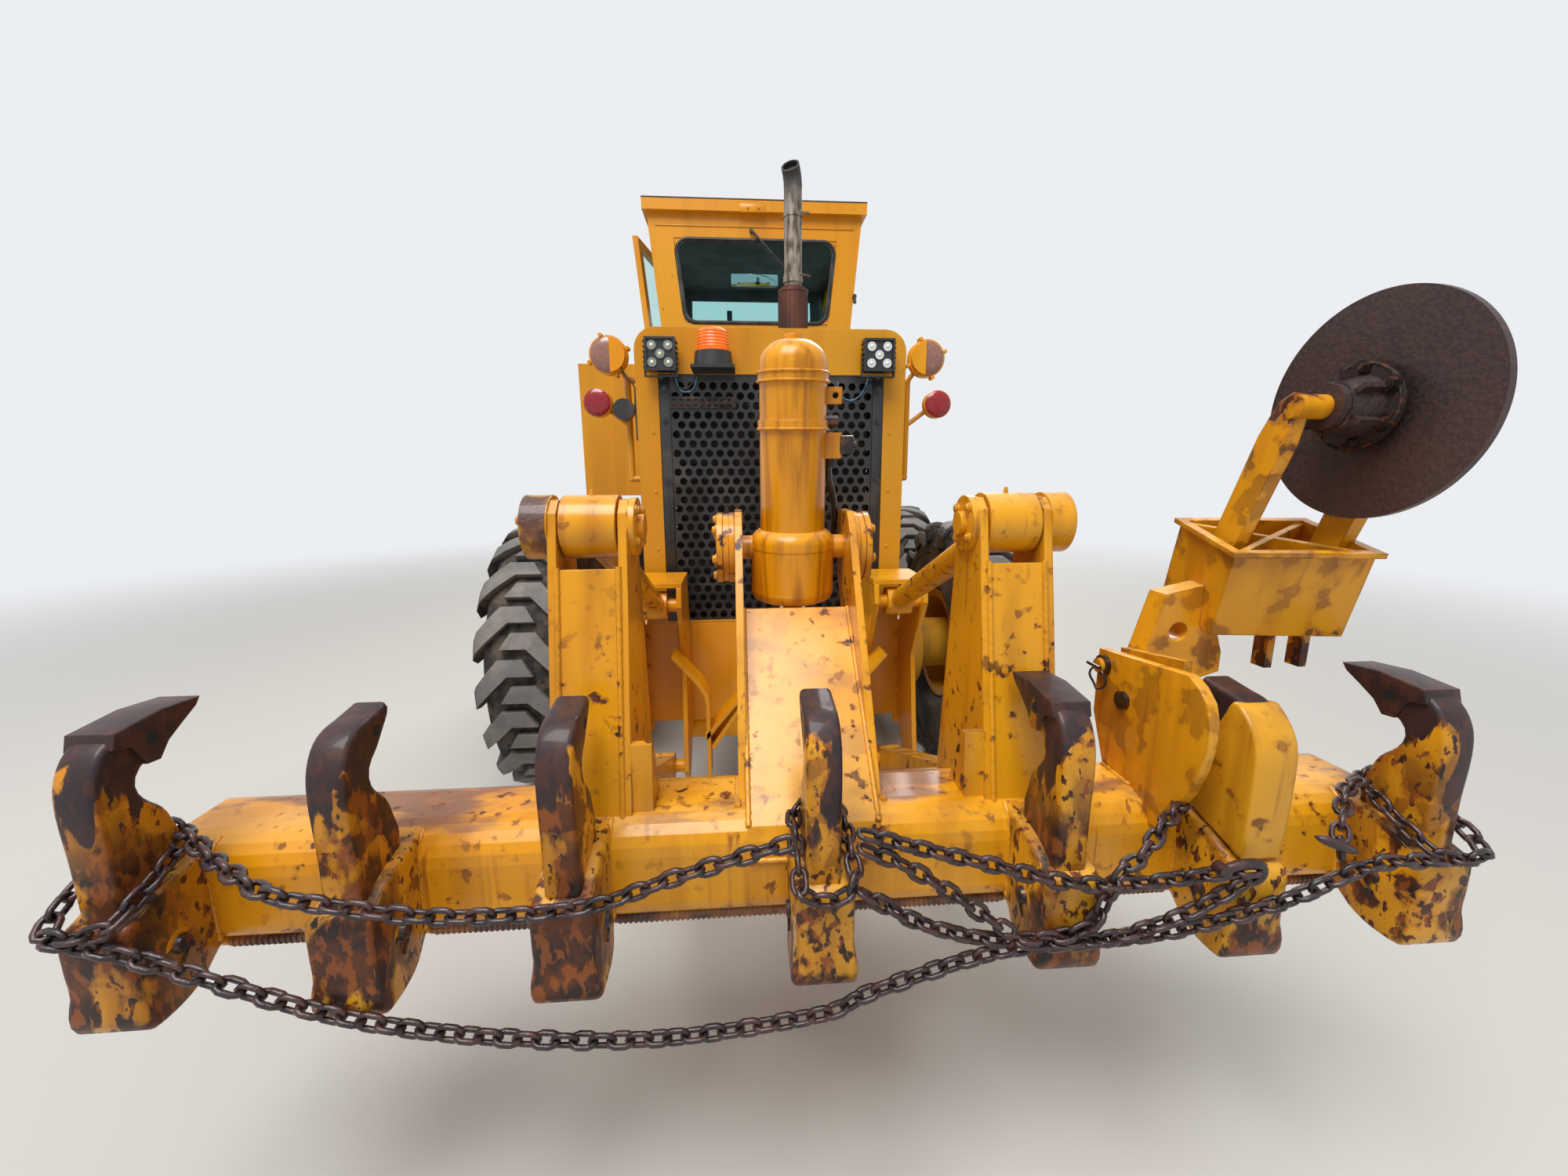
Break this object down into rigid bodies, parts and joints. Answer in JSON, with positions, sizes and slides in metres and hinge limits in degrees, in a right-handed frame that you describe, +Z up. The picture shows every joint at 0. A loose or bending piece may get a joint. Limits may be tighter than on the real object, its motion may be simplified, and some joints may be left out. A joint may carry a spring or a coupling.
{
  "type": "articulated motor grader with rear ripper",
  "caption": "Six-wheeled articulated motor grader with a turning moldboard under the frame, a rear ripper stowed high and a folded cutter wheel.",
  "frame": {"origin": "on the ground at the middle of the machine's plan", "axes": "+X to the machine's right, +Y towards its nose, +Z up"},
  "size_m": [4.27, 10.5578, 3.64],
  "materials": {
    "yellow": "glossy, worn",
    "rust": "rusty",
    "bare": "worn",
    "chrome": "polished",
    "black": "satin",
    "tyre": "matt",
    "glass": "clear",
    "lamp": "glossy",
    "vinyl": "grained"
  },
  "bodies": {
    "rear_frame": {"rear_frame": "yellow", "engine": "black", "hood": "yellow", "grille": "black", "exhaust": "rust", "rear_lamps": "lamp", "grab_rails": "yellow", "beacon": "lamp", "work_lamps": "black", "hydraulic_tank": "yellow", "tandem_cases": "yellow"},
    "front_frame": {"front_frame": "yellow", "cab": "yellow", "cab_glass": "glass", "roof_lamps": "black", "seat": "vinyl", "console": "black", "front_axle": "yellow"},
    "door_left": {"door_left": "yellow", "door_left_glass": "glass"},
    "door_right": {"door_right": "yellow", "door_right_glass": "glass"},
    "yoke_left": {"yoke_left": "yellow"},
    "yoke_right": {"yoke_right": "yellow"},
    "lean_bar": {"lean_bar": "yellow"},
    "knuckle_left": {"knuckle_left": "yellow"},
    "knuckle_right": {"knuckle_right": "yellow"},
    "tie_stud": {"tie_stud": "bare"},
    "tie_rod": {"tie_rod": "yellow"},
    "drawbar": {"drawbar": "yellow"},
    "circle": {"circle": "yellow"},
    "moldboard": {"moldboard": "bare"},
    "lift_barrel_left": {"lift_barrel_left": "yellow"},
    "lift_barrel_right": {"lift_barrel_right": "yellow"},
    "lift_rod_left": {"lift_rod_left": "chrome"},
    "lift_rod_right": {"lift_rod_right": "chrome"},
    "lower_links": {"lower_links": "yellow"},
    "upper_links": {"upper_links": "yellow"},
    "ripper": {"ripper_beam": "yellow", "ripper_shanks": "rust", "cutter_arm": "yellow", "chains": "rust"},
    "cutter_disc": {"cutter_disc": "rust"},
    "ripper_barrel": {"ripper_barrel": "yellow"},
    "ripper_rod": {"ripper_rod": "chrome"},
    "wheel_rear_left": {"tyre_rear_left": "tyre", "rim_rear_left": "yellow"},
    "wheel_rear_right": {"tyre_rear_right": "tyre", "rim_rear_right": "yellow"},
    "wheel_mid_left": {"tyre_mid_left": "tyre", "rim_mid_left": "yellow"},
    "wheel_mid_right": {"tyre_mid_right": "tyre", "rim_mid_right": "yellow"},
    "wheel_front_left": {"tyre_front_left": "tyre", "rim_front_left": "yellow"},
    "wheel_front_right": {"tyre_front_right": "tyre", "rim_front_right": "yellow"}
  },
  "joints": [
    {"name": "roll_rear_left", "type": "hinge", "parent": "rear_frame", "child": "wheel_rear_left", "pos_m": [-1.215, -2.7415, 0.745], "axis": [-1, 0, 0], "continuous": true},
    {"name": "roll_rear_right", "type": "hinge", "parent": "rear_frame", "child": "wheel_rear_right", "pos_m": [1.215, -2.7415, 0.745], "axis": [-1, 0, 0], "continuous": true},
    {"name": "roll_mid_left", "type": "hinge", "parent": "rear_frame", "child": "wheel_mid_left", "pos_m": [-1.215, -1.0915, 0.745], "axis": [-1, 0, 0], "continuous": true},
    {"name": "roll_mid_right", "type": "hinge", "parent": "rear_frame", "child": "wheel_mid_right", "pos_m": [1.215, -1.0915, 0.745], "axis": [-1, 0, 0], "continuous": true},
    {"name": "roll_front_left", "type": "hinge", "parent": "knuckle_left", "child": "wheel_front_left", "pos_m": [-1.215, 4.5335, 0.745], "axis": [-1, 0, 0], "continuous": true},
    {"name": "roll_front_right", "type": "hinge", "parent": "knuckle_right", "child": "wheel_front_right", "pos_m": [1.215, 4.5335, 0.745], "axis": [-1, 0, 0], "continuous": true},
    {"name": "articulate", "type": "hinge", "parent": "rear_frame", "child": "front_frame", "pos_m": [0, -1.2165, 1], "axis": [0, 0, 1], "range_deg": [-20, 20]},
    {"name": "open_door_left", "type": "hinge", "parent": "front_frame", "child": "door_left", "pos_m": [-0.779, -0.4475, 2.5], "axis": [0, 0, -1], "range_deg": [-9, 66]},
    {"name": "open_door_right", "type": "hinge", "parent": "front_frame", "child": "door_right", "pos_m": [0.779, -0.4475, 2.5], "axis": [0, 0, 1], "range_deg": [0, 75]},
    {"name": "lean_left", "type": "hinge", "parent": "front_frame", "child": "yoke_left", "pos_m": [-0.71, 4.5335, 0.7], "axis": [0, 1, 0], "range_deg": [-18, 18]},
    {"name": "lean_right", "type": "hinge", "parent": "front_frame", "child": "yoke_right", "pos_m": [0.71, 4.5335, 0.7], "axis": [0, 1, 0], "range_deg": [-18, 18]},
    {"name": "lean_bar_pin", "type": "hinge", "parent": "yoke_left", "child": "lean_bar", "pos_m": [-0.71, 4.6835, 0.99], "axis": [0, 1, 0], "range_deg": [-18, 18]},
    {"name": "steer_left", "type": "hinge", "parent": "yoke_left", "child": "knuckle_left", "pos_m": [-0.88, 4.5335, 0.725], "axis": [0, 0, 1], "range_deg": [-45, 45]},
    {"name": "steer_right", "type": "hinge", "parent": "yoke_right", "child": "knuckle_right", "pos_m": [0.88, 4.5335, 0.725], "axis": [0, 0, 1], "range_deg": [-45, 45]},
    {"name": "tie_stud_turn", "type": "hinge", "parent": "knuckle_left", "child": "tie_stud", "pos_m": [-0.88, 4.2535, 0.518], "axis": [0, 0, 1], "range_deg": [-45, 45]},
    {"name": "tie_rod_tilt", "type": "hinge", "parent": "tie_stud", "child": "tie_rod", "pos_m": [-0.88, 4.2535, 0.468], "axis": [0, 1, 0], "range_deg": [-18, 18]},
    {"name": "drawbar_lift", "type": "hinge", "parent": "front_frame", "child": "drawbar", "pos_m": [0, 3.8535, 0.92], "axis": [-1, 0, 0], "range_deg": [-12, 12]},
    {"name": "lift_tilt_left", "type": "hinge", "parent": "front_frame", "child": "lift_barrel_left", "pos_m": [-0.52, 2.0115, 1.9], "axis": [-1, 0, 0], "range_deg": [-8, 8]},
    {"name": "lift_slide_left", "type": "slide", "parent": "lift_barrel_left", "child": "lift_rod_left", "axis": [0, -0.2747, -0.9615], "range_m": [-0.46, 0.46]},
    {"name": "lift_tilt_right", "type": "hinge", "parent": "front_frame", "child": "lift_barrel_right", "pos_m": [0.52, 2.0115, 1.9], "axis": [-1, 0, 0], "range_deg": [-8, 8]},
    {"name": "lift_slide_right", "type": "slide", "parent": "lift_barrel_right", "child": "lift_rod_right", "axis": [0, -0.2747, -0.9615], "range_m": [-0.46, 0.46]},
    {"name": "circle_turn", "type": "hinge", "parent": "drawbar", "child": "circle", "pos_m": [0, 1.8215, 0.83], "axis": [0, 0, 1], "range_deg": [-180, 180]},
    {"name": "blade_shift", "type": "slide", "parent": "circle", "child": "moldboard", "axis": [1, 0, 0], "range_m": [-0.6, 0.6]},
    {"name": "ripper_lower", "type": "hinge", "parent": "rear_frame", "child": "lower_links", "pos_m": [0, -3.8095, 0.53], "axis": [1, 0, 0], "range_deg": [0, 25]},
    {"name": "upper_swing", "type": "hinge", "parent": "rear_frame", "child": "upper_links", "pos_m": [0, -3.8715, 1.26], "axis": [1, 0, 0], "range_deg": [0, 25]},
    {"name": "ripper_level", "type": "hinge", "parent": "lower_links", "child": "ripper", "pos_m": [0, -4.7715, 0.93], "axis": [1, 0, 0], "range_deg": [-25, 0]},
    {"name": "ripper_tilt", "type": "hinge", "parent": "ripper", "child": "ripper_barrel", "pos_m": [0, -4.5215, 1.57], "axis": [1, 0, 0], "range_deg": [-2, 14]},
    {"name": "ripper_slide", "type": "slide", "parent": "ripper_barrel", "child": "ripper_rod", "axis": [0, 0.063, -0.998], "range_m": [-0.46, 0.02]},
    {"name": "disc_spin", "type": "hinge", "parent": "ripper", "child": "cutter_disc", "pos_m": [1.22, -4.9862, 1.915], "axis": [1, 0, 0], "continuous": true}
  ],
  "couplings": [
    {"joint": "lean_right", "follows": "lean_left", "ratio": 1},
    {"joint": "lean_bar_pin", "follows": "lean_left", "ratio": -1},
    {"joint": "steer_right", "follows": "steer_left", "ratio": 1},
    {"joint": "tie_stud_turn", "follows": "steer_left", "ratio": -1},
    {"joint": "tie_rod_tilt", "follows": "lean_left", "ratio": -0.808},
    {"joint": "lift_tilt_left", "follows": "drawbar_lift", "ratio": 0.5},
    {"joint": "lift_slide_left", "follows": "drawbar_lift", "m_per_rad": -2.035},
    {"joint": "lift_tilt_right", "follows": "drawbar_lift", "ratio": 0.5},
    {"joint": "lift_slide_right", "follows": "drawbar_lift", "m_per_rad": -2.035},
    {"joint": "upper_swing", "follows": "ripper_lower", "ratio": 1},
    {"joint": "ripper_level", "follows": "ripper_lower", "ratio": -1},
    {"joint": "ripper_tilt", "follows": "ripper_lower", "ratio": 0.473},
    {"joint": "ripper_slide", "follows": "ripper_lower", "m_per_rad": -0.974}
  ]
}
